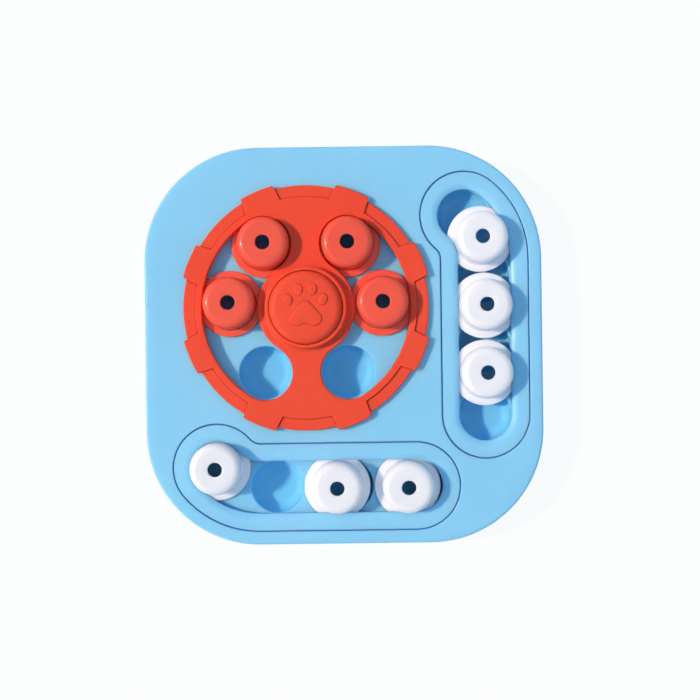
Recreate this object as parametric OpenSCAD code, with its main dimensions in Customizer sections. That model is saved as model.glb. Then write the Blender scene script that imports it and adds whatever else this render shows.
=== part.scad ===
// Dog puzzle feeder: a low square tray of treat bowls, covered by sliding knobs.
// Four knobs slide in the curved slots of a wheel that turns on a post, and three more
// slide in each of two bent channels. Millimetres, +Z up, the feet stand on z = 0.

/* [Tray] */
// Width and depth of the square tray
tray_w = 280; // [278:1:300]
// Height of the tray moulding, without the feet
tray_h = 28.5; // [27:0.5:36]
// Radius of the tray's corners, seen from above
corner_r = 80; // [74:1:90]
// Thickness of the tray's walls
wall_t = 2.6; // [2:0.1:3.2]
// Radius of the tray's upper edge
edge_r = 3; // [2:0.5:4]
// Width of the soft crown inside the upper edge
crown_w = 6; // [3:0.5:7]
// Fall of the soft crown
crown_fall = 0.5; // [0.2:0.1:0.8]
// Thickness of the ribs under the tray and the wheel
rib_t = 1.8; // [1.2:0.1:2.4]
// Angle between the ribs that run to a side wall
side_rib_angle = 17; // [10:1:20]

/* [Bowls] */
// Radius of a treat bowl at its mouth
bowl_r = 18.6; // [16:0.2:19.5]
// Radius between the bowl's wall and floor
bowl_fillet = 7; // [4:0.5:9]
// Thickness of a bowl's wall
bowl_t = 2.2; // [1.8:0.1:2.6]
// Height of a bowl's underside above the tray's lower rim
bowl_lift = 7.8; // [6:0.1:9]
// Radius of the softened mouth of a bowl
bowl_lip_r = 0.8; // [0.4:0.1:1.2]

/* [Knobs] */
// Radius of a knob's drum
knob_r = 18; // [16:0.2:18.4]
// Height of a knob
knob_h = 19.5; // [16:0.5:24]
// Radius of the rounded upper edge of a knob
knob_edge_r = 5; // [3:0.5:6]
// Radius of the flange that keeps a knob in its slot
flange_r = 23.2; // [21.5:0.1:23.3]
// Thickness of that flange
flange_t = 2.4; // [1.6:0.1:3]
// Radius of the rounded edge of the flange
flange_edge_r = 0.6; // [0.3:0.1:1]
// Thickness of a knob's wall
knob_t = 2; // [1.6:0.1:2.6]
// Radius of the scent hole through a knob
scent_r = 5; // [3:0.5:6.5]
// Radius of the softened mouth of the scent hole
scent_lip_r = 0.5; // [0.3:0.1:1]

/* [Tracks] */
// Distance from the tray's edge to the centre line of a track
track_edge = 40.5; // [38:0.5:43]
// Number of bowls along the straight part of a track
straight_bowls = 3; // [2:1:3]
// Distance from the tray's edge to the last bowl of a track
track_end_edge = 90; // [88:0.5:94]
// Distance from the start of the bend to the nearest bowl of the straight part
bend_bowl = 12; // [8:0.5:14]
// Angle of the bend that leads to the head bowl
head_angle = 50; // [40:1:56]
// Width of the cover beside its channel
cover_border = 11.9; // [11:0.1:12.6]
// Thickness of the cover
cover_t = 3; // [2.4:0.1:4]
// Width of the soft bevel along the channel
bevel_w = 5; // [3:0.5:7]
// Radius of the edges on both sides of the parting line
parting_r = 0.5; // [0.2:0.1:0.8]
// Fall of the soft bevel along the channel
bevel_fall = 1.9; // [1:0.1:2]

/* [Wheel] */
// Distance from the tray's middle lines to the wheel's axle
axle_offset = 26.2; // [24:0.1:27]
// Radius of the wheel at its rim pads
wheel_r = 88.4; // [86:0.2:90]
// Radius of the wheel between its pads
rim_r = 85.8; // [84:0.2:86]
// Radius at which the steps between the pads begin
step_r = 77.5; // [76:0.5:80]
// Depth of the steps between the pads
step_d = 1.2; // [0.6:0.1:2]
// Angle that a pad covers at the rim
pad_angle = 15.8; // [10:0.2:20]
// Angle that a pad covers where the step begins
pad_root_angle = 19.5; // [14:0.5:26]
// Number of rim pads
pads = 8; // [6:1:10]
// Thickness of the wheel's plate
plate_t = 4.7; // [3.5:0.1:6]
// Radius of the circle on which bowls and knobs stand under the wheel
ring_r = 53.6; // [52.8:0.1:54.2]
// Angle from the middle bowl of a slot to its outer ones
bowl_step = 57; // [54:0.5:60]
// Radius of the rounded upper edge of the rim
rim_edge_r = 0.7; // [0.4:0.1:1]
// Radius of the softened upper edge of a slot
slot_edge_r = 1; // [0.6:0.1:1.5]
// Depth of the cored hollows in the wheel's underside
core_d = 1.6; // [1:0.1:2]
// Number of hollows along each spoke
spoke_hollows = 3; // [2:1:5]
// Thickness of the wheel's floor inside the hub ring
hub_floor_t = 2.7; // [2:0.1:3.2]
// Radius of the raised hub ring
hub_r = 28.5; // [27:0.1:30]
// Height of the hub ring above the wheel's plate
hub_rise = 5.5; // [4:0.5:8]
// Radius of the rounded edge of the hub ring
hub_edge_r = 1; // [0.5:0.1:2]
// Radius of the hub cap
cap_r = 25.5; // [24:0.1:25.6]
// Height of the hub cap above the hub ring
cap_rise = 1; // [0.5:0.1:2]
// Radius of the rounded edge of the hub cap
cap_edge_r = 3; // [1:0.5:4]
// Thickness of the hub cap
cap_t = 2.2; // [1.6:0.1:2.6]
// Radius of the pegs under the hub cap
peg_r = 2; // [1.5:0.1:2.5]
// Height of the paw print on the hub cap
paw_rise = 0.8; // [0.4:0.1:1.2]

/* [Axle] */
// Radius of the post that the wheel turns on
post_r = 8; // [7:0.5:9]
// Wall thickness of the post and of the sleeve round it
sleeve_t = 4; // [3:0.5:5]
// Height of the sleeve above the hub floor
sleeve_rise = 1; // [0.5:0.1:1.5]
// Radius of the washer that keeps the wheel on the post
washer_r = 11; // [10:0.5:12]
// Thickness of that washer
washer_t = 1.2; // [0.8:0.1:1.6]
// Radius of the axle screw's shank
axle_screw_r = 2; // [1.5:0.1:2.5]
// Length of the axle screw's shank
axle_screw_l = 12; // [10:0.5:14]
// Radius of the axle screw's head
axle_head_r = 4; // [3.5:0.1:4.5]
// Height of the axle screw's head
axle_head_h = 2.2; // [1.6:0.1:2.4]

/* [Cover screws] */
// Radius of a cover screw's shank
cover_screw_r = 1.3; // [1:0.1:1.4]
// Radius of a cover screw's head
cover_head_r = 2.6; // [2.2:0.1:3]
// Height of a cover screw's head
cover_head_h = 1.6; // [1.2:0.1:2]
// Radius of the stub under the cover that takes a screw
stub_r = 2.3; // [2.2:0.1:2.5]
// Length of the stub under the cover
stub_l = 2.4; // [2:0.1:3]
// Length of the screw boss under the cover's seat
boss_l = 7.5; // [6:0.5:9]

/* [Feet] */
// Radius of a rubber foot
foot_r = 7; // [6:0.5:8]
// Height of a rubber foot
foot_h = 4; // [3:0.5:5]
// How far a foot stands out under the tray
foot_rise = 1.5; // [1:0.1:2]
// Radius of a foot's rounded lower edge
foot_edge_r = 1; // [0.5:0.1:2]
// Distance along the diagonal from a corner's centre to its foot
foot_reach = 67; // [64:0.5:68]

/* [Clearances] */
// Gap between a loose piece and the face it rests on
seat_gap = 0.3; // [0.2:0.05:0.5]
// Radial gap between the post and the wheel's sleeve
bearing_gap = 0.08; // [0.03:0.01:0.1]
// Gap between a knob's drum and the sides of a slot in the wheel
slot_gap = 1.3; // [0.8:0.1:1.5]
// Gap between a knob's drum and the sides of a cover's channel
channel_gap = 0.5; // [0.4:0.1:0.8]
// Gap between a knob's flange and the side walls under the cover
flange_side_gap = 1.2; // [0.8:0.1:1.6]
// Headroom above the flange under the cover
track_headroom = 0.5; // [0.3:0.1:1]
// Headroom above the flange under the wheel
wheel_headroom = 1.6; // [0.6:0.1:2]
// Gap between the cover and the tray along the parting line
parting_gap = 0.8; // [0.4:0.1:1]
// Gap between the hub cap and the hub ring
cap_gap = 0.5; // [0.3:0.1:0.8]
// Gap round a screw, peg or stub in its hole
hole_gap = 0.1; // [0.05:0.05:0.2]

/* [Knob places] */
// Angles of the knobs in the right slot of the wheel
right_slot_knobs = [56.8, 3.5]; // [-57:0.1:57]
// Angles of the knobs in the left slot of the wheel
left_slot_knobs = [122.8, 176]; // [123:0.1:237]
// Angle along the bend of the first knob of the right track
bend_knob_right = 20.4; // [19:0.1:50]
// Distances of the other knobs of the right track from the start of its bend
line_knobs_right = [33.2, 80.6]; // [33:0.1:110]
// Angle along the bend of the first knob of the front track
bend_knob_front = 50; // [0:0.1:50]
// Distances of the other knobs of the front track from its last bowl
line_knobs_front = [55.8, 6.2]; // [0:0.1:110]

/* [Hidden] */
$fn = 96;
arc_step = 5;

// Small overlap that makes a cut run cleanly past a face
cut = 1;
// Overlap of solids that join in one moulding
join = 0.4;

// Heights above the floor
rim_z = foot_rise;
top_z = rim_z + tray_h;
cover_seat_z = top_z - cover_t;
track_deck_z = cover_seat_z - track_headroom - flange_t - seat_gap;
wheel_z = top_z + seat_gap;
wheel_deck_z = wheel_z - wheel_headroom - flange_t - seat_gap;
bowl_floor_z = rim_z + bowl_lift + bowl_t;
plate_z = wheel_z + plate_t;
hub_floor_z = wheel_z + hub_floor_t;
sleeve_z = hub_floor_z + sleeve_rise;
hub_z = plate_z + hub_rise;
cap_z = hub_z + cap_rise;
post_z = sleeve_z + seat_gap;
track_knob_z = track_deck_z + seat_gap;
wheel_knob_z = wheel_deck_z + seat_gap;

// Plan of the tray and its tracks
bend_c = tray_w / 2 - corner_r;
line_x = tray_w / 2 - track_edge;
path_r = line_x - bend_c;
track_end = tray_w / 2 - track_end_edge;
bowl_pitch = (track_end + bend_c - bend_bowl) / (straight_bowls - 1);
head_c = [bend_c, bend_c] + path_r * [cos(head_angle), sin(head_angle)];
channel_w = knob_r + channel_gap;
cover_w = channel_w + cover_border;
pocket_w = cover_w + parting_gap;
flange_w = flange_r + flange_side_gap;
well_r = ring_r + flange_r + flange_side_gap;
slot_w = knob_r + slot_gap;
cap_seat_r = cap_r + cap_gap;
sleeve_r = post_r + bearing_gap;
boss_w = (cover_w + flange_w) / 2;
rib_z = (rim_z + top_z) / 2;
boss_r = stub_r + hole_gap + wall_t / 2;

TRAY_COLOR = [0.57, 0.81, 0.95];
RED = [0.94, 0.32, 0.24];
WHITE = [0.91, 0.91, 0.95];
STEEL = [0.72, 0.73, 0.75];
RUBBER = [0.35, 0.37, 0.4];

// ---------- plan helpers ----------

// Points along an arc, in steps of about arc_step, with or without its last point
function arc(centre, r, a0, a1, last) =
    let (n = ceil(abs(a1 - a0) / arc_step))
    [for (i = [0 : last ? n : n - 1])
        let (a = a0 + (a1 - a0) * i / n) centre + r * [cos(a), sin(a)]];

// Outline at a distance w from the centre line of the right track
function track_outline(w) = concat(
    arc([line_x, -track_end], w, 180, 360, true),
    arc([bend_c, bend_c], path_r + w, 0, head_angle, false),
    arc(head_c, w, head_angle, head_angle + 180, false),
    arc([bend_c, bend_c], path_r - w, head_angle, 0, true)
);

// Outline at a distance w from the centre line of a slot in the wheel
function slot_outline(w) = concat(
    arc(ring_r * [cos(bowl_step), -sin(bowl_step)], w, 180 - bowl_step, 360 - bowl_step, false),
    arc([0, 0], ring_r + w, -bowl_step, bowl_step, false),
    arc(ring_r * [cos(bowl_step), sin(bowl_step)], w, bowl_step, bowl_step + 180, false),
    arc([0, 0], ring_r - w, bowl_step, -bowl_step, false)
);

// Faces across an outline of n points, in strips that run over from the middle of its first arc
function strips(n) =
    let (mid = round(90 / arc_step) + n)
    [for (k = [0 : n / 2 - 1])
        let (ring = [mid + k, mid + k + 1, mid - k - 1, mid - k])
        [for (i = [0 : 3]) if (i == 0 || ring[i] % n != ring[i - 1] % n && ring[i] % n != ring[0] % n) ring[i] % n]];

// Solid through level outlines of equal point count, each given as [outline, height]
module loft(levels) {
    n = len(levels[0][0]);
    top = (len(levels) - 1) * n;
    points = [for (l = levels, p = l[0]) [p[0], p[1], l[1]]];
    sides = [for (k = [0 : n : top - n], i = [0 : n - 1])
        let (j = (i + 1) % n) [k + i, k + n + i, k + n + j, k + j]];
    lid = [for (f = strips(n)) [for (i = [len(f) - 1 : -1 : 0]) top + f[i]]];
    polyhedron(points = points, faces = concat(strips(n), sides, lid), convexity = 6);
}

// Distance and height of the points of a rounded edge that opens a wall at w outwards, up to height z
function open_edge(w, z, r, steps) = [for (i = [0 : steps])
    let (a = 90 * i / steps) [w + r - r * cos(a), z - r + r * sin(a)]];

// Distance and height of the points of a rounded edge that closes a wall at w inwards, up to height z
function closed_edge(w, z, r, steps) = [for (i = [0 : steps])
    let (a = 90 * i / steps) [w - r + r * cos(a), z - r + r * sin(a)]];

// Moves its children to a point of the bend, at an angle from the straight part
module on_bend(a) {
    translate([bend_c, bend_c]) rotate([0, 0, a]) translate([path_r, 0]) children();
}

// Moves its children to a place along the straight part
module on_line(y) {
    translate([line_x, y]) children();
}

// Mirrors the right track onto the front one
module front() {
    mirror([1, 1, 0]) children();
}

// Both tracks
module both_tracks() {
    children();
    front() children();
}

// Every bowl of the right track
module at_track_bowls() {
    on_bend(head_angle) children();
    for (i = [0 : straight_bowls - 1]) on_line(-track_end + i * bowl_pitch) children();
}

// Moves its children to the wheel's axle
module at_axle() {
    translate([-axle_offset, axle_offset]) children();
}

// Every bowl under the wheel
module at_wheel_bowls() {
    for (side = [0, 180], a = [-bowl_step, 0, bowl_step])
        at_axle() rotate([0, 0, side + a]) translate([ring_r, 0]) children();
}

// Every foot
module at_foot(sx, sy) {
    reach = bend_c + foot_reach * cos(45);
    translate([sx * reach, sy * reach]) children();
}

// Places of the cover screws of the right track, midway under the cover's border
module at_cover_screws() {
    for (side = [-1, 1], i = [0, 1])
        on_line(-track_end + (i + 0.5) * bowl_pitch) translate([side * boss_w, 0]) children();
    on_line(-track_end - boss_w) children();
    on_bend(head_angle) translate([0, boss_w]) children();
}

// ---------- tray ----------

// Half section of the tray's form from a corner's centre outwards, between two heights.
// The top is level, then a wide arc lets it fall towards the rounded edge.
module tray_section(inset, z0, z1, r) {
    reach = corner_r - inset;
    crown_x = reach - edge_r - crown_w;
    crown_r = (pow(edge_r + crown_w, 2) + pow(crown_fall, 2)) / (2 * crown_fall);
    intersection() {
        union() {
            square([reach, z1 - r]);
            square([reach - r, z1]);
            translate([reach - r, z1 - r]) circle(r);
        }
        union() {
            square([crown_x, z1]);
            translate([crown_x, z1 - crown_r]) circle(crown_r, $fn = 4 * $fn);
        }
        translate([0, z0]) square([reach, z1 - z0]);
    }
}

// The square form with round corners that the section draws
module tray_form(inset, z0, z1, r) {
    for (q = [0 : 3]) rotate([0, 0, 90 * q]) translate([bend_c, bend_c]) {
        rotate_extrude() tray_section(inset, z0, z1, r);
        rotate([90, 0, 0]) linear_extrude(2 * bend_c) tray_section(inset, z0, z1, r);
    }
    translate([-bend_c, -bend_c, z0]) cube([2 * bend_c, 2 * bend_c, z1 - z0]);
}

// Inside of a bowl as a half section, from its floor to a mouth at height z
module bowl_section(r, z, floor_z, fillet) {
    translate([0, floor_z + fillet]) square([r, z - floor_z - fillet]);
    translate([0, floor_z]) square([r - fillet, z - floor_z]);
    translate([r - fillet, floor_z + fillet]) circle(fillet);
}

// Outside of a bowl
module bowl_shell(z) {
    rotate_extrude() intersection() {
        bowl_section(bowl_r + bowl_t, z, bowl_floor_z - bowl_t, bowl_fillet + bowl_t);
        square([bowl_r + bowl_t, z]);
    }
}

// Cut that softens the mouth, at height z, of a round hole
module soft_mouth(r, z, lip_r) {
    rotate_extrude() difference() {
        translate([r - join, z - lip_r]) square([join + lip_r, lip_r + cut]);
        translate([r + lip_r, z - lip_r]) circle(lip_r);
    }
}

// Hollow of a bowl, with a soft mouth
module bowl_hollow(z) {
    rotate_extrude() intersection() {
        bowl_section(bowl_r, z + cut, bowl_floor_z, bowl_fillet);
        square([bowl_r, z + cut]);
    }
    soft_mouth(bowl_r, z, bowl_lip_r);
}

// Everything solid, before the pockets and bowls are cut
module tray_mass() {
    difference() {
        tray_form(0, rim_z, top_z, edge_r);
        tray_form(wall_t, rim_z - cut, top_z - wall_t, edge_r / 2);
    }
    at_axle() translate([0, 0, wheel_deck_z - wall_t]) cylinder(r = well_r + wall_t, h = top_z - wheel_deck_z + wall_t - join);
    both_tracks() {
        translate([0, 0, cover_seat_z - wall_t]) linear_extrude(cover_t + wall_t - join)
            polygon(track_outline(pocket_w + wall_t));
        translate([0, 0, track_deck_z - wall_t]) linear_extrude(cover_seat_z - track_deck_z + wall_t - join)
            polygon(track_outline(flange_w + wall_t));
        at_track_bowls() bowl_shell(track_deck_z - join);
        at_cover_screws() translate([0, 0, cover_seat_z - boss_l]) cylinder(r = boss_r, h = boss_l - join);
    }
    at_wheel_bowls() bowl_shell(wheel_deck_z - join);
    at_axle() translate([0, 0, rim_z + bowl_lift]) cylinder(r = post_r, h = post_z - rim_z - bowl_lift);
    tray_ribs();
    foot_seats();
}

// Upright rib that runs away from the axle, from radius r0 to r1, up to height z
module radial_rib(angle, r0, r1, z) {
    at_axle() rotate([0, 0, angle]) translate([r0, -rib_t / 2, rib_z]) cube([r1 - r0, rib_t, z - rib_z]);
}

// Ribs under the wheel well, between the bowls, and from the well to the side walls
module tray_ribs() {
    wall_reach = tray_w / 2 - wall_t / 2;
    corner_reach = sqrt(2) * bend_c + corner_r - wall_t / 2;
    for (a = [bowl_step / 2, 90, 180 - bowl_step / 2, 180 + bowl_step / 2, 270, -bowl_step / 2])
        radial_rib(a, post_r - join, well_r, wheel_deck_z - join);
    for (a = [-side_rib_angle, 0, side_rib_angle], side = [90, 180])
        radial_rib(side + a, well_r, (wall_reach - axle_offset) / cos(a), top_z - wall_t / 2);
    radial_rib(135, well_r, corner_reach - sqrt(2) * axle_offset, top_z - wall_t / 2);
    radial_rib(-45, well_r, corner_reach + sqrt(2) * axle_offset, top_z - wall_t / 2);
    both_tracks() for (i = [0, 1])
        on_line(-track_end + (i + 0.5) * bowl_pitch)
            translate([-boss_w, -rib_t / 2, rib_z])
                cube([2 * boss_w, rib_t, track_deck_z - join - rib_z]);
}

// Cup that holds a foot, tied to the deck by crossed ribs
module foot_seats() {
    seat_z = rim_z + foot_h - foot_rise;
    for (sx = [-1, 1], sy = [-1, 1]) at_foot(sx, sy) {
        translate([0, 0, rim_z]) cylinder(r = foot_r + hole_gap + rib_t, h = seat_z - rim_z + wall_t);
        for (a = [45, 135]) rotate([0, 0, a])
            translate([-foot_r - rib_t, -rib_t / 2, seat_z])
                cube([2 * (foot_r + rib_t), rib_t, top_z - wall_t / 2 - seat_z]);
    }
}

module base_tray() color(TRAY_COLOR) difference() {
    tray_mass();
    // Well under the wheel, round the post
    at_axle() translate([0, 0, wheel_deck_z]) difference() {
        cylinder(r = well_r, h = top_z - wheel_deck_z + cut);
        translate([0, 0, -cut]) cylinder(r = post_r, h = top_z - wheel_deck_z + 3 * cut);
    }
    at_wheel_bowls() bowl_hollow(wheel_deck_z);
    both_tracks() {
        loft([for (l = concat([[pocket_w, cover_seat_z]], open_edge(pocket_w, top_z, parting_r, 2),
            [[pocket_w + parting_r, top_z + cut]])) [track_outline(l[0]), l[1]]]);
        translate([0, 0, track_deck_z]) linear_extrude(cover_t + cut) polygon(track_outline(flange_w));
        at_track_bowls() bowl_hollow(track_deck_z);
        // Socket for the cover's stub, the hole for its screw and the way to the screw's head
        at_cover_screws() {
            translate([0, 0, rim_z]) cylinder(r = cover_head_r + seat_gap, h = cover_seat_z - boss_l - rim_z);
            translate([0, 0, cover_seat_z - stub_l - hole_gap])
                cylinder(r = stub_r + hole_gap, h = stub_l + hole_gap + cut);
            translate([0, 0, cover_seat_z - boss_l - cut])
                cylinder(r = cover_screw_r + hole_gap, h = boss_l + cut);
        }
    }
    // Hole for the axle screw, and the hollow of the post below it
    at_axle() {
        translate([0, 0, post_z - axle_screw_l]) cylinder(r = axle_screw_r + hole_gap, h = axle_screw_l + cut);
        translate([0, 0, rim_z]) cylinder(r = post_r - wall_t, h = post_z - axle_screw_l - rim_z);
    }
    for (sx = [-1, 1], sy = [-1, 1])
        at_foot(sx, sy) translate([0, 0, rim_z - cut]) cylinder(r = foot_r + hole_gap, h = foot_h - foot_rise + cut);
}

// ---------- track covers ----------

// Distance and height of the points of the soft bevel along the channel, an arc that
// leaves the top face level and falls by bevel_fall
function bevel(steps) =
    let (
        r = (bevel_w * bevel_w + bevel_fall * bevel_fall) / (2 * bevel_fall),
        full = asin(bevel_w / r)
    )
    [for (i = [steps : -1 : 0])
        let (a = full * i / steps) [channel_w + bevel_w - r * sin(a), top_z - r + r * cos(a)]];

module track_cover() {
    difference() {
        union() {
            loft([for (l = concat([[cover_w, cover_seat_z]], closed_edge(cover_w, top_z, parting_r, 2)))
                [track_outline(l[0]), l[1]]]);
            at_cover_screws() translate([0, 0, cover_seat_z - stub_l]) cylinder(r = stub_r, h = stub_l + join);
        }
        at_cover_screws() translate([0, 0, cover_seat_z - stub_l - cut])
            cylinder(r = cover_screw_r + hole_gap, h = stub_l + cut + cover_t / 2);
        loft([for (l = concat([[channel_w, cover_seat_z - stub_l - cut]], bevel(5),
            [[channel_w + bevel_w, top_z + cut]])) [track_outline(l[0]), l[1]]]);
    }
}

module track_cover_right() color(TRAY_COLOR) track_cover();
module track_cover_front() color(TRAY_COLOR) front() track_cover();

// Pan-head screws that hold a cover from below
module cover_screws() {
    at_cover_screws() translate([0, 0, cover_seat_z - boss_l]) {
        cylinder(r = cover_screw_r, h = boss_l + cover_t / 2 - seat_gap);
        pan_head(cover_head_r, cover_head_h);
    }
}

// A screw head that hangs below z = 0, with a cross recess
module pan_head(r, h) {
    difference() {
        translate([0, 0, -h]) rotate_extrude() {
            translate([0, h / 2]) square([r, h / 2]);
            square([r - h / 2, h]);
            translate([r - h / 2, h / 2]) circle(h / 2);
        }
        for (a = [0, 90]) rotate([0, 0, a])
            translate([-r / 2, -r / 8, -h - cut]) cube([r, r / 4, cut + h / 2]);
    }
}

module cover_screws_right() color(STEEL) cover_screws();
module cover_screws_front() color(STEEL) front() cover_screws();

// ---------- wheel ----------

// Plan of the steps between the rim pads
module step_area() {
    gap = 360 / pads;
    root = (gap - pad_root_angle) / 2;
    rim = (gap - pad_angle) / 2;
    for (i = [0 : pads - 1]) rotate([0, 0, i * gap]) difference() {
        polygon([
            [step_r * cos(root), step_r * sin(root)],
            [wheel_r * cos(rim), wheel_r * sin(rim)],
            [wheel_r * 1.1, wheel_r * 1.1 * sin(rim)],
            [wheel_r * 1.1, -wheel_r * 1.1 * sin(rim)],
            [wheel_r * cos(rim), -wheel_r * sin(rim)],
            [step_r * cos(root), -step_r * sin(root)],
            [step_r / 2, 0]
        ]);
        circle(step_r);
    }
}

// Hollows under the spoke along +Y, in two rows beside a middle rib
module cored_spoke(depth) {
    spoke_w = ring_r * cos(bowl_step) - slot_w - rib_t;
    spoke_l = (step_r - 2 * rib_t - hub_r) / spoke_hollows;
    for (side = [0, 1], i = [0 : spoke_hollows - 1]) mirror([side, 0, 0])
        translate([rib_t / 2, hub_r + rib_t + i * spoke_l, 0])
            cube([spoke_w - rib_t / 2, spoke_l - rib_t, depth]);
}

// Places of the pegs that hold the hub cap
module at_pegs() {
    for (i = [0 : 2]) rotate([0, 0, 90 + 120 * i])
        translate([(sleeve_r + sleeve_t + cap_r - cap_t) / 2, 0]) children();
}

// Ring from radius r0 to r1, cut into equal lengths by ribs
module cored_ring(r0, r1, depth, ribs) {
    difference() {
        cylinder(r = r1, h = depth);
        translate([0, 0, -cut]) cylinder(r = r0, h = depth + 2 * cut);
        for (i = [0 : ribs - 1]) rotate([0, 0, (i + 0.5) * 360 / ribs])
            translate([r0 - cut, -rib_t / 2, -cut]) cube([r1 - r0 + 2 * cut, rib_t, depth + 2 * cut]);
    }
}

module wheel() color(RED) at_axle() difference() {
    union() {
        translate([0, 0, wheel_z]) drum(wheel_r, plate_t, rim_edge_r);
        translate([0, 0, wheel_z]) drum(hub_r, plate_t + hub_rise, hub_edge_r);
    }
    // Slots
    for (side = [0, 180]) rotate([0, 0, side])
        loft([for (l = concat([[slot_w, wheel_z - cut]], open_edge(slot_w, plate_z, slot_edge_r, 3),
            [[slot_w + slot_edge_r, plate_z + cut]])) [slot_outline(l[0]), l[1]]]);
    // Steps between the pads, which leave a lower and smaller rim there
    difference() {
        translate([0, 0, wheel_z - cut]) linear_extrude(plate_t + 2 * cut) step_area();
        translate([0, 0, wheel_z - 2 * cut]) drum(rim_r, plate_t + 2 * cut - step_d, rim_edge_r);
    }
    // Hollows that core the underside of the rim and of the two spokes
    translate([0, 0, wheel_z - cut]) {
        cored_ring(step_r - rib_t, rim_r - 2 * rib_t, core_d + cut, 4 * pads);
        for (side = [0, 180]) rotate([0, 0, side]) cored_spoke(core_d + cut);
    }
    // Holes for the pegs of the hub cap
    at_pegs() translate([0, 0, wheel_z - cut]) cylinder(r = peg_r + hole_gap, h = hub_floor_t + 2 * cut);
    // Seat of the hub cap, round the sleeve
    difference() {
        translate([0, 0, hub_floor_z]) cylinder(r = cap_seat_r, h = hub_z - hub_floor_z + cut);
        translate([0, 0, hub_floor_z - cut]) cylinder(r = sleeve_r + sleeve_t, h = sleeve_rise + cut);
    }
    // Bore
    translate([0, 0, wheel_z - cut]) cylinder(r = sleeve_r, h = hub_z - wheel_z + 2 * cut);
}

module hub_cap() color(RED) at_axle() {
    difference() {
        translate([0, 0, hub_floor_z + seat_gap]) drum(cap_r, cap_z - hub_floor_z - seat_gap, cap_edge_r);
        translate([0, 0, hub_floor_z]) cylinder(r = cap_r - cap_t, h = cap_z - hub_floor_z - cap_t);
    }
    // Pegs that press into the hub floor
    at_pegs() translate([0, 0, wheel_z + seat_gap]) cylinder(r = peg_r, h = cap_z - cap_t + join - wheel_z - seat_gap);
    translate([0, 0, cap_z - join]) linear_extrude(paw_rise + join) paw();
}

// A plain paw print: three-lobed pad and four toes
module paw() {
    toe = [4.3, 3.3];
    difference() {
        hull() {
            translate([0, 0.4]) circle(r = 4, $fn = 32);
            for (s = [-1, 1]) translate([s * 6.6, -8]) circle(r = 4.6, $fn = 32);
        }
        translate([0, -20]) circle(9);
    }
    for (s = [-1, 1]) {
        translate([s * 12, 5]) rotate([0, 0, 90 + s * -20]) ellipse(toe);
        translate([s * 4.9, 12]) rotate([0, 0, 90 + s * -6]) ellipse(toe);
    }
}

// An ellipse with half axes r
module ellipse(r) {
    steps = 32;
    polygon([for (i = [0 : steps - 1]) [r[0] * cos(i * 360 / steps), r[1] * sin(i * 360 / steps)]]);
}

module axle_washer() color(STEEL) at_axle() translate([0, 0, post_z]) difference() {
    cylinder(r = washer_r, h = washer_t);
    translate([0, 0, -cut]) cylinder(r = axle_screw_r + hole_gap, h = washer_t + 2 * cut);
}

module axle_screw() color(STEEL) at_axle() translate([0, 0, post_z + washer_t]) {
    translate([0, 0, -axle_screw_l + join]) cylinder(r = axle_screw_r, h = axle_screw_l);
    mirror([0, 0, 1]) pan_head(axle_head_r, axle_head_h);
}

// ---------- knobs ----------

// A drum with a rounded upper edge
module drum(r, h, edge) {
    rotate_extrude() {
        square([r, h - edge]);
        square([r - edge, h]);
        translate([r - edge, h - edge]) circle(edge);
    }
}

// Moulded knob with its flange on z = 0
module knob() {
    difference() {
        union() {
            drum(flange_r, flange_t, flange_edge_r);
            drum(knob_r, knob_h, knob_edge_r);
        }
        translate([0, 0, -cut]) drum(knob_r - knob_t, knob_h - knob_t + cut, knob_edge_r - knob_t / 2);
        translate([0, 0, -cut]) cylinder(r = scent_r, h = knob_h + 2 * cut);
        soft_mouth(scent_r, knob_h, scent_lip_r);
    }
}

module red_knob(a) {
    color(RED) at_axle() rotate([0, 0, a]) translate([ring_r, 0, wheel_knob_z]) knob();
}

module white_bend_knob(a) {
    color(WHITE) on_bend(a) translate([0, 0, track_knob_z]) knob();
}

module white_line_knob(y) {
    color(WHITE) on_line(y) translate([0, 0, track_knob_z]) knob();
}

// ---------- feet ----------

module foot(sx, sy) {
    color(RUBBER) at_foot(sx, sy) translate([0, 0, foot_h]) mirror([0, 0, 1]) drum(foot_r, foot_h, foot_edge_r);
}

base_tray();
track_cover_right();
track_cover_front();
wheel();
hub_cap();
axle_washer();
axle_screw();
cover_screws_right();
cover_screws_front();
red_knob(right_slot_knobs[0]);  // red_knob_upper_right
red_knob(right_slot_knobs[1]);  // red_knob_right
red_knob(left_slot_knobs[0]);  // red_knob_upper_left
red_knob(left_slot_knobs[1]);  // red_knob_left
white_bend_knob(bend_knob_right);  // white_knob_right_1
white_line_knob(bend_c - line_knobs_right[0]);  // white_knob_right_2
white_line_knob(bend_c - line_knobs_right[1]);  // white_knob_right_3
front() white_bend_knob(bend_knob_front);  // white_knob_front_1
front() white_line_knob(line_knobs_front[0] - track_end);  // white_knob_front_2
front() white_line_knob(line_knobs_front[1] - track_end);  // white_knob_front_3
foot(-1, -1);  // foot_front_left
foot(1, -1);  // foot_front_right
foot(-1, 1);  // foot_back_left
foot(1, 1);  // foot_back_right
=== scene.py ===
import math

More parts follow.
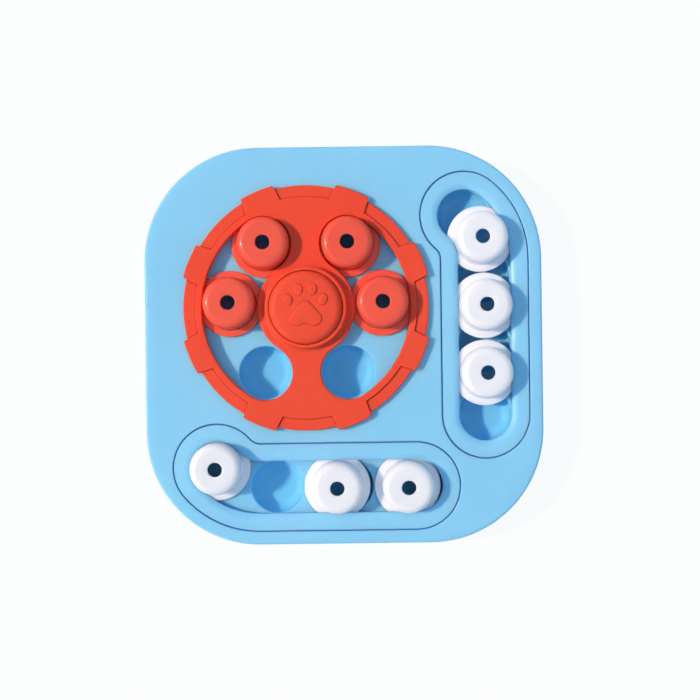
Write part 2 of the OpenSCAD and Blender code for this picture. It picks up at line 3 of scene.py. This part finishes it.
import bmesh
import bpy
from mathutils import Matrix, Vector

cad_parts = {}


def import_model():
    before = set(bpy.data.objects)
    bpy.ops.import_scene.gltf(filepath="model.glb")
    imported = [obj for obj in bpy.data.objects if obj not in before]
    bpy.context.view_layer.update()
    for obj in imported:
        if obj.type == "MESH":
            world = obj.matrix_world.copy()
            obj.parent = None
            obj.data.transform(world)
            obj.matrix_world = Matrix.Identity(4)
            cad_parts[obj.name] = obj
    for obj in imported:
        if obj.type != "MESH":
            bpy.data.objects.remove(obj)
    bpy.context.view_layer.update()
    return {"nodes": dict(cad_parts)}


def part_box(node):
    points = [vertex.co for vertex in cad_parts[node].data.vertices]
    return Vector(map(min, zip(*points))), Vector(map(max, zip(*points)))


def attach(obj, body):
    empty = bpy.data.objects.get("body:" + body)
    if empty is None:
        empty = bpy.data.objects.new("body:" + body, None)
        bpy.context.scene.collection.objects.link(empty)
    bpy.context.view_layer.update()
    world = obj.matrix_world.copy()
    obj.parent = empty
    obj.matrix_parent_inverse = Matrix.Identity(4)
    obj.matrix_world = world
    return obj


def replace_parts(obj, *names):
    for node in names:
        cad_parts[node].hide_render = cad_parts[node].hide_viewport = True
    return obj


# Dog puzzle feeder toy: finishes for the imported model's nodes, a rounder hub cap, a fold round the
# foot of the hub ring, and the floor, camera and light. Lengths are in metres, like the frame,
# where nothing else is said.

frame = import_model()
nodes = frame["nodes"]


# ---------- sizes and places ----------

MM = 0.001

# Tray: its covers lie flush with its top. Its outline is close to a curve of the fourth power, and
# the painted shade of its bowls fades out between two such curves
TRAY_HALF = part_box("base_tray")[1][0]
TOP_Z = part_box("track_cover_right")[1][2]
BOWL_SHADE_DEPTH = 17.5 * MM
INNER_EDGE = TRAY_HALF - 9 * MM
OUTER_EDGE = TRAY_HALF - 5 * MM
CORNER_POWER = 4.0

# Paw print, in millimetres from the cap's middle: its pad's arcs as middle and radius, and its
# right toes as middle and turn in degrees
PAD_TOP, PAD_TOP_R = (0.0, 0.4), 4.2
PAD_LOBE, PAD_LOBE_R = (6.6, -8.0), 4.6
PAD_NOTCH, PAD_NOTCH_R = (0.0, -16.6), 5.5
TOES = [((12.1, 5.3), -20), ((4.9, 12.2), -6)]
TOE_R = (3.2, 4.1)
# The rounded edge of its relief, as pairs of inset and height above the cap
PAW_RISE = 0.9
PAW_EDGE = [(0.0, -0.3), (0.0, 0.35), (0.12, 0.6), (0.35, 0.8), (0.75, PAW_RISE)]

# Hub cap: it stands on the hub's floor, PEG_L above the low end of the solid's pegs, and is
# wider than the solid by CAP_SPREAD all round and higher by CAP_LIFT
cap_low, cap_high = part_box("hub_cap")
AXLE = ((cap_low[0] + cap_high[0]) / 2, (cap_low[1] + cap_high[1]) / 2)
CAP_SPREAD = 0.25 * MM
CAP_R = (cap_high[0] - cap_low[0]) / 2 + CAP_SPREAD
CAP_LIFT = 2.6 * MM
CAP_EDGE = 5.5 * MM
CAP_WALL = 2.2 * MM
PEG_L = 2.7 * MM
SEAT_Z = cap_low[2] + PEG_L
CAP_H = cap_high[2] + CAP_LIFT - PAW_RISE * MM - SEAT_Z

# Fold round the foot of the hub ring, let into the ring and the wheel's plate by LET_IN
HUB_R = 28.5 * MM
PLATE_T = 4.7 * MM
FOLD_R = 2.0 * MM
LET_IN = 0.2 * MM
PLATE_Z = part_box("wheel")[0][2] + PLATE_T

# Camera: straight above, with its shifts in pixels of the square picture
IMAGE = 700
CAMERA_PLACE = (1.7 * MM, -15.2 * MM, 744 * MM)
CAMERA_ROLL = math.radians(-0.75)
LENS = 52.25
SENSOR = 36.0
SHIFT_X = 3.4
SHIFT_Y = 16.55

# Floor and light: the floor's own shading shows through a share of plain white
FLOOR_HALF = 6.0
WHITE_SHARE = 0.94
SUN_HEIGHT = math.radians(41.5)
SUN_TURN = math.radians(-5)
SUN_SPREAD = math.radians(4)
SUN_POWER = 3.18
SUN_COLOUR = (1.0, 0.79, 0.60)
SKY_COLOUR = (0.33, 0.47, 0.60, 1)
FLOOR_COLOUR = (0.86, 0.88, 0.88, 1)


# ---------- short calls for objects, colours and nodes ----------

def place(name, data):
    """New object in the scene that shows the given data."""
    obj = bpy.data.objects.new(name, data)
    bpy.context.scene.collection.objects.link(obj)
    return obj


def linear(*srgb):
    """Linear colour of an sRGB colour given from 0 to 255."""
    def one(v):
        v /= 255
        return v / 12.92 if v <= 0.04045 else ((v + 0.055) / 1.055) ** 2.4
    return (*[one(v) for v in srgb], 1.0)


WHITE = linear(253, 255, 255)


class Nodes:
    """Short calls to add nodes to a tree and to link them."""

    def __init__(self, tree):
        self.tree = tree

    def add(self, kind, inputs=None, **settings):
        """New node with its settings, and with its inputs set or linked."""
        node = self.tree.nodes.new(kind)
        for key, value in settings.items():
            setattr(node, key, value)
        for key, value in (inputs or {}).items():
            self.put(node.inputs[key], value)
        return node

    def put(self, socket, value):
        """Link a socket to another one, or set it to a plain value."""
        if isinstance(value, bpy.types.NodeSocket):
            self.tree.links.new(value, socket)
        else:
            socket.default_value = value

    def math(self, operation, a, b=0.0):
        return self.add("ShaderNodeMath", {0: a, 1: b}, operation=operation).outputs[0]

    def seen_plainly(self):
        """Factor that is 1 for what is seen straight on, in gloss or through glass, and 0 for
        light."""
        path = self.add("ShaderNodeLightPath").outputs
        gloss_too = self.math("MAXIMUM", path["Is Camera Ray"], path["Is Glossy Ray"])
        return self.math("MAXIMUM", gloss_too, path["Is Transmission Ray"])


class Finish(Nodes):
    """A material with a Principled shader, and short calls for its patterns."""

    def __init__(self, name):
        self.mat = bpy.data.materials.new(name)
        self.mat.use_nodes = True
        super().__init__(self.mat.node_tree)
        self.shader = self.tree.nodes["Principled BSDF"]
        self.coords = self.add("ShaderNodeTexCoord").outputs["Object"]

    def shade(self, values):
        """Set or link the shader's own sockets."""
        for socket, value in values.items():
            self.put(self.shader.inputs[socket], value)

    def noise(self, scale, detail=2.0, roughness=0.5, stretch=None, distortion=0.0):
        vector = self.coords
        if stretch:
            vector = self.add("ShaderNodeMapping", {"Vector": vector, "Scale": stretch}).outputs[0]
        return self.add("ShaderNodeTexNoise", {
            "Vector": vector, "Scale": scale, "Detail": detail,
            "Roughness": roughness, "Distortion": distortion,
        }).outputs["Fac"]

    def band(self, value, low, high, to_low=0.0, to_high=1.0):
        """The value's range from low to high, drawn out to the range from to_low to to_high."""
        return self.add("ShaderNodeMapRange", {
            "Value": value, "From Min": low, "From Max": high,
            "To Min": to_low, "To Max": to_high,
        }).outputs[0]

    def mix(self, factor, a, b):
        """Colour that goes from a to b as the factor goes from 0 to 1."""
        inputs = {"Factor": factor, 6: a, 7: b}
        return self.add("ShaderNodeMix", inputs, data_type="RGBA").outputs[2]

    def bump(self, height, distance, strength, normal=None):
        inputs = {"Height": height, "Distance": distance, "Strength": strength}
        if normal is not None:
            inputs["Normal"] = normal
        return self.add("ShaderNodeBump", inputs).outputs[0]

    def inside(self):
        """Factor that grows from 0 on the tray's top to 1 on a bowl's floor, and is 0 on the
        tray's outer sides; it places the painted shade of the bowls."""
        x, y, z = self.add("ShaderNodeSeparateXYZ", {"Vector": self.coords}).outputs
        across, along = [self.math("POWER", self.math("ABSOLUTE", v), CORNER_POWER) for v in (x, y)]
        reach = self.math("ADD", across, along)
        within = self.band(reach, INNER_EDGE ** CORNER_POWER, OUTER_EDGE ** CORNER_POWER, 1.0, 0.0)
        return self.math("MULTIPLY", within, self.band(z, TOP_Z, TOP_Z - BOWL_SHADE_DEPTH))

    def narrow(self, reach):
        """Factor that is 0 in gaps and corners narrower than about reach, and 1 on open faces, which
        places the painted shade.
        """
        open_air = self.add("ShaderNodeAmbientOcclusion", {"Distance": reach},
                            samples=8, only_local=True).outputs["AO"]
        return self.band(open_air, low=0.5, high=0.85)

    def level(self):
        """Factor that is 0 on steep sides and 1 on faces that look up, which places painted shade on
        steep sides.
        """
        face = self.add("ShaderNodeNewGeometry").outputs["True Normal"]
        up = self.add("ShaderNodeSeparateXYZ", {"Vector": face}).outputs["Z"]
        return self.band(up, low=0.2, high=0.6)


# ---------- finishes ----------

def moulded(name, light, deep, painted_crease_shade, rough, coat, shine, bleed, depth,
            grain=0.012, gloss=0.14, painted_bowl_shade=None, shade_steep_sides=False):
    """Moulded plastic with a fine eroded grain, long shallow sink marks, a few hair scratches and
    softened edges, and with painted shade in its gaps and corners.

    light, deep: two close shades of one colour that drift slowly over the surface
    painted_crease_shade: painted shade in narrow gaps and corners
    shade_steep_sides: whether steep sides take that painted shade as well
    painted_bowl_shade: painted shade, a deeper colour that the tray takes from its top down into
        its bowls
    rough, shine: roughness and specular level of the plastic
    coat, gloss: weight and roughness of its glossy skin
    bleed, depth: light scatters under the skin over about depth millimetres, in each colour by
        its share in bleed
    grain: height of the grain in millimetres
    """
    t = Finish(name)
    drift = t.band(t.noise(scale=14.0, detail=3.0), low=0.35, high=0.65)
    speck = t.band(t.noise(scale=900.0), low=0.3, high=0.7)
    tone = t.math("ADD", t.math("MULTIPLY", drift, 0.75), t.math("MULTIPLY", speck, 0.25))
    colour = t.mix(tone, light, deep)
    # Painted shade: the tray's colour deepens from its top down into its bowls
    if painted_bowl_shade:
        colour = t.mix(t.inside(), colour, painted_bowl_shade)
    # Painted shade in narrow gaps and corners, where little light reaches
    colour = t.mix(t.narrow(2.0 * MM), painted_crease_shade, colour)
    # Painted shade on steep sides too, in the same colour as in the corners
    if shade_steep_sides:
        colour = t.mix(t.level(), painted_crease_shade, colour)

    hairs = t.noise(scale=260.0, detail=4.0, roughness=0.75, stretch=(1.0, 0.06, 0.3),
                    distortion=0.4)
    scratch = t.band(hairs, low=0.66, high=0.7)
    cloud = t.band(t.noise(scale=60.0, detail=3.0, roughness=0.6), low=0.3, high=0.7,
                   to_low=rough - 0.04, to_high=rough + 0.05)

    edge = t.add("ShaderNodeBevel", {"Radius": 0.35 * MM}, samples=4).outputs[0]
    sink = t.bump(t.noise(scale=32.0, detail=1.0), distance=0.08 * MM, strength=0.6, normal=edge)
    eroded = t.noise(scale=1400.0, detail=3.0, roughness=0.6)
    fine = t.bump(eroded, distance=grain * MM, strength=0.8, normal=sink)

    t.shader.subsurface_method = "BURLEY"
    t.shade({
        "Base Color": colour,
        "Roughness": t.math("ADD", cloud, t.math("MULTIPLY", scratch, 0.05)),
        "Normal": t.bump(scratch, distance=-0.004 * MM, strength=0.5, normal=fine),
        "Coat Normal": sink,
        "IOR": 1.49,
        "Specular IOR Level": shine,
        "Coat Weight": coat,
        "Coat Roughness": gloss,
        "Subsurface Weight": 1.0,
        "Subsurface Radius": bleed,
        "Subsurface Scale": depth * MM,
    })
    return t.mat


def steel(name):
    """Zinc-plated steel, slightly cloudy and drawn in one direction."""
    t = Finish(name)
    drawn = t.noise(scale=700.0, detail=3.0, roughness=0.6, stretch=(1.0, 1.0, 0.1))
    t.shade({
        "Base Color": t.mix(drawn, linear(214, 216, 220), linear(176, 180, 186)),
        "Roughness": t.band(drawn, low=0.3, high=0.7, to_low=0.26, to_high=0.40),
        "Normal": t.bump(drawn, distance=0.01 * MM, strength=0.6),
        "Metallic": 1.0,
    })
    return t.mat


def rubber(name):
    """Grey rubber with a soft, dusty, slightly pebbled skin."""
    t = Finish(name)
    dust = t.band(t.noise(scale=180.0, detail=4.0, roughness=0.65), low=0.4, high=0.7)
    pebble = t.add("ShaderNodeTexVoronoi", {"Vector": t.coords, "Scale": 1600.0})
    t.shade({
        "Base Color": t.mix(dust, linear(84, 88, 94), linear(112, 116, 122)),
        "Roughness": t.band(dust, low=0.0, high=1.0, to_low=0.62, to_high=0.78),
        "Normal": t.bump(pebble.outputs["Distance"], distance=0.03 * MM, strength=0.5),
    })
    return t.mat


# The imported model's plain materials make way for these finishes
for imported in list(bpy.data.materials):
    bpy.data.materials.remove(imported)

# What the finishes of one colour share
# The crease colour in each is painted shade for narrow gaps and corners
BLUE = {"painted_crease_shade": linear(0, 120, 212), "rough": 0.42, "bleed": (0.04, 0.6, 1.0)}
RED = {"painted_crease_shade": linear(158, 24, 22), "grain": 0.02, "bleed": (1.0, 0.12, 0.08)}

# The tray's bowls take painted shade, a deeper blue towards their floors
tray_blue = moulded(
    "tray_blue", light=linear(140, 207, 243), deep=linear(133, 202, 240),
    coat=0.2, gloss=0.03, shine=0.1, depth=7.0, painted_bowl_shade=linear(112, 198, 242), **BLUE)
# The covers take painted shade on their steep sides as well
cover_blue = moulded(
    "cover_blue", light=linear(140, 207, 243), deep=linear(134, 202, 240),
    coat=0.06, shine=0.15, depth=9.0, shade_steep_sides=True, **BLUE)
wheel_red = moulded(
    "wheel_red", light=linear(239, 81, 57), deep=linear(233, 74, 51),
    rough=0.5, coat=0.02, shine=0.1, depth=2.0, **RED)
knob_red = moulded(
    "knob_red", light=linear(242, 82, 60), deep=linear(236, 75, 54),
    rough=0.46, coat=0.25, shine=0.3, depth=4.0, **RED)
# The white knobs also take painted shade in their gaps and corners
knob_white = moulded(
    "knob_white", light=linear(236, 237, 245), deep=linear(230, 232, 242),
    painted_crease_shade=linear(205, 213, 230), rough=0.36, coat=0.25, shine=0.35,
    bleed=(1.0, 0.95, 0.9), depth=5.0)
screw_steel = steel("screw_steel")
foot_rubber = rubber("foot_rubber")

# Finish of each CAD node, by how its name starts
FINISH = {
    "base_tray": tray_blue,
    "track_cover_": cover_blue,
    "wheel": wheel_red,
    "hub_cap": wheel_red,
    "axle_": screw_steel,
    "cover_screws_": screw_steel,
    "red_knob_": knob_red,
    "white_knob_": knob_white,
    "foot_": foot_rubber,
}

for name, obj in nodes.items():
    finish = next(m for start, m in FINISH.items() if name.startswith(start))
    obj.data.materials.clear()
    obj.data.materials.append(finish)


# ---------- smooth shading of the swept forms ----------

def smooth_group(angle):
    """Node group that joins a mesh's doubled points and leaves only the edges sharp that fold by
    more than an angle in degrees."""
    group = bpy.data.node_groups.new("smooth_form", "GeometryNodeTree")
    for way in ("INPUT", "OUTPUT"):
        group.interface.new_socket("Geometry", in_out=way, socket_type="NodeSocketGeometry")
    t = Nodes(group)
    fold = t.add("GeometryNodeInputMeshEdgeAngle").outputs["Unsigned Angle"]
    steep = t.add("FunctionNodeCompare", {"A": fold, "B": math.radians(angle)},
                  data_type="FLOAT", operation="GREATER_THAN").outputs[0]
    form = t.add("NodeGroupInput").outputs[0]
    form = t.add("GeometryNodeRemoveAttribute", {0: form, "Name": "custom_normal"}).outputs[0]
    form = t.add("GeometryNodeMergeByDistance", {0: form, "Distance": 0.002 * MM}).outputs[0]
    form = t.add("GeometryNodeSetShadeSmooth", {0: form}, domain="FACE").outputs[0]
    form = t.add("GeometryNodeSetShadeSmooth",
                 {0: form, "Selection": steep, "Shade Smooth": False}, domain="EDGE").outputs[0]
    t.add("NodeGroupOutput", {0: form})
    return group


SMOOTH = smooth_group(angle=30)
for name in ("track_cover_right", "track_cover_front", "wheel"):
    nodes[name].modifiers.new("smooth_form", "NODES").node_group = SMOOTH
    weighted = nodes[name].modifiers.new("weighted", "WEIGHTED_NORMAL")
    weighted.weight = 100
    weighted.keep_sharp = True


# ---------- hub cap and the fold under its ring ----------

def arc(centre, radius, start, end, steps):
    """Points of an arc in a plane, with its ends, for angles in degrees."""
    turn = [math.radians(start + (end - start) * i / steps) for i in range(steps + 1)]
    return [(centre[0] + radius * math.cos(a), centre[1] + radius * math.sin(a)) for a in turn]


def revolve(bm, profile, steps=160):
    """Closed form of revolution from (radius, height) points; a radius of 0 is a pole. A profile
    without poles is a closed loop."""
    rings = []
    for r, z in profile:
        angles = [2 * math.pi * i / steps for i in range(steps)] if r else [0]
        rings.append([bm.verts.new((r * math.cos(a), r * math.sin(a), z)) for a in angles])
    following = rings[1:]
    if profile[0][0] and profile[-1][0]:
        following.append(rings[0])
    for low, high in zip(rings, following):
        for i in range(steps):
            j = (i + 1) % steps
            corners = [low[i % len(low)], low[j % len(low)],
                       high[j % len(high)], high[i % len(high)]]
            bm.faces.new(list(dict.fromkeys(corners)))


def raise_outline(bm, outline, levels):
    """Closed relief from outline(inset), one ring for each level's inset and height."""
    rings = [[bm.verts.new((x, y, z)) for x, y in outline(inset)] for inset, z in levels]
    for low, high in zip(rings, rings[1:]):
        for i in range(len(low)):
            j = (i + 1) % len(low)
            bm.faces.new((low[i], low[j], high[j], high[i]))
    bm.faces.new(rings[-1])
    bm.faces.new(rings[0][::-1])


def paw_pad(inset):
    """Outline of the pad: a round top, two lobes and a shallow notch between them."""
    top_r, lobe_r, notch_r = PAD_TOP_R - inset, PAD_LOBE_R - inset, PAD_NOTCH_R + inset
    across, down = PAD_LOBE[0] - PAD_TOP[0], PAD_LOBE[1] - PAD_TOP[1]
    lean = math.atan2(down, across) + math.acos((top_r - lobe_r) / math.hypot(across, down))
    lean = math.degrees(lean)
    base = math.degrees(math.asin((PAD_LOBE[1] - lobe_r - PAD_NOTCH[1]) / notch_r))
    other_lobe = (-PAD_LOBE[0], PAD_LOBE[1])
    points = [
        *arc(PAD_LOBE, lobe_r, -90, lean, steps=14),
        *arc(PAD_TOP, top_r, lean, 180 - lean, steps=12),
        *arc(other_lobe, lobe_r, 180 - lean, 270, steps=14),
        *arc(PAD_NOTCH, notch_r, 180 - base, base, steps=12),
    ]
    return [(x * MM, y * MM) for x, y in points]


def toe(centre, turn):
    """Outline of a toe, an ellipse turned by an angle in degrees."""
    def outline(inset):
        c, s = math.cos(math.radians(turn)), math.sin(math.radians(turn))
        points = arc((0, 0), 1.0, 0, 360, steps=32)[:-1]
        points = [((TOE_R[0] - inset) * x, (TOE_R[1] - inset) * y) for x, y in points]
        return [((centre[0] + x * c - y * s) * MM, (centre[1] + x * s + y * c) * MM)
                for x, y in points]
    return outline


def cap_form(bm):
    """Hollow cap with a round edge and a raised paw print."""
    outer = arc((CAP_R - CAP_EDGE, CAP_H - CAP_EDGE), CAP_EDGE, 0, 90, steps=12)
    inner_r, inner_edge = CAP_R - CAP_WALL, CAP_EDGE - CAP_WALL
    inner = arc((inner_r - inner_edge, CAP_H - CAP_EDGE), inner_edge, 0, 90, steps=8)
    revolve(bm, [(0, CAP_H), *outer[::-1], (CAP_R, 0),
                 (inner_r, 0), *inner, (0, CAP_H - CAP_WALL)])
    levels = [(inset, CAP_H + z * MM) for inset, z in PAW_EDGE]
    raise_outline(bm, paw_pad, levels)
    for side in (-1, 1):
        for (x, y), turn in TOES:
            raise_outline(bm, toe((side * x, y), side * turn), levels)


def fold_form(bm):
    """Rounded fold between the wheel's plate and its hub ring."""
    foot = HUB_R + FOLD_R
    curve = arc((foot, FOLD_R), FOLD_R, 270, 180, steps=6)
    revolve(bm, [(HUB_R - LET_IN, -LET_IN), (foot, -LET_IN), *curve, (HUB_R - LET_IN, FOLD_R)])


def wheel_form(name, build, low_z):
    """Piece of the wheel built by build(bm) around its axle, from height low_z up."""
    bm = bmesh.new()
    build(bm)
    bmesh.ops.recalc_face_normals(bm, faces=bm.faces)
    bmesh.ops.translate(bm, verts=bm.verts, vec=(*AXLE, low_z))
    mesh = bpy.data.meshes.new(name)
    bm.to_mesh(mesh)
    bm.free()
    mesh.materials.append(wheel_red)
    obj = place(name, mesh)
    obj.modifiers.new("smooth_form", "NODES").node_group = SMOOTH
    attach(obj, "wheel")
    return obj


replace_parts(wheel_form("hub_cap_form", cap_form, SEAT_Z), "hub_cap")
wheel_form("hub_ring_fold", fold_form, PLATE_Z)


# ---------- floor, camera and light ----------

def floor():
    """A plain white floor that shows the object's shadow faintly."""
    mesh = bpy.data.meshes.new("floor")
    corners = [(x * FLOOR_HALF, y * FLOOR_HALF, 0) for x, y in ((-1, -1), (1, -1), (1, 1), (-1, 1))]
    mesh.from_pydata(corners, [], [(0, 1, 2, 3)])
    t = Finish("floor")
    t.shade({"Base Color": FLOOR_COLOUR, "Roughness": 0.9, "Specular IOR Level": 0.0})
    glow = t.add("ShaderNodeEmission", {"Color": WHITE, "Strength": 1.0})
    shown = t.add("ShaderNodeMixShader", {
        0: t.math("MULTIPLY", t.seen_plainly(), WHITE_SHARE),
        1: t.shader.outputs[0],
        2: glow.outputs[0],
    })
    t.put(t.tree.nodes["Material Output"].inputs["Surface"], shown.outputs[0])
    mesh.materials.append(t.mat)
    obj = place("floor", mesh)


def camera():
    """A camera straight above the object, framed as the photograph is."""
    obj = place("camera", bpy.data.cameras.new("camera"))
    obj.data.lens = LENS
    obj.data.sensor_width = SENSOR
    obj.data.shift_x = SHIFT_X / IMAGE
    obj.data.shift_y = SHIFT_Y / IMAGE
    obj.data.clip_start = 10 * MM
    obj.location = CAMERA_PLACE
    obj.rotation_euler = (0, 0, CAMERA_ROLL)
    bpy.context.scene.camera = obj


def sun():
    """A warm lamp from the left, whose shadows fall to the right and a little to the front."""
    obj = place("sun", bpy.data.lights.new("sun", "SUN"))
    travel = Vector((math.cos(SUN_HEIGHT) * math.cos(SUN_TURN),
                     math.cos(SUN_HEIGHT) * math.sin(SUN_TURN), -math.sin(SUN_HEIGHT)))
    obj.rotation_mode = "QUATERNION"
    obj.rotation_quaternion = travel.to_track_quat("-Z", "Y")
    obj.data.energy = SUN_POWER
    obj.data.color = SUN_COLOUR
    obj.data.angle = SUN_SPREAD


def world():
    """A cool sky that lights the object, and a white backdrop where the world itself is seen."""
    data = bpy.data.worlds.new("world")
    bpy.context.scene.world = data
    data.use_nodes = True
    t = Nodes(data.node_tree)
    sky = t.tree.nodes["Background"]
    t.put(sky.inputs["Color"], SKY_COLOUR)
    t.put(sky.inputs["Strength"], 1.0)
    backdrop = t.add("ShaderNodeBackground", {"Color": WHITE})
    shown = t.add("ShaderNodeMixShader", {
        0: t.seen_plainly(), 1: sky.outputs[0], 2: backdrop.outputs[0],
    })
    t.put(t.tree.nodes["World Output"].inputs["Surface"], shown.outputs[0])


floor()
camera()
sun()
world()
bpy.context.scene.view_settings.view_transform = "Standard"
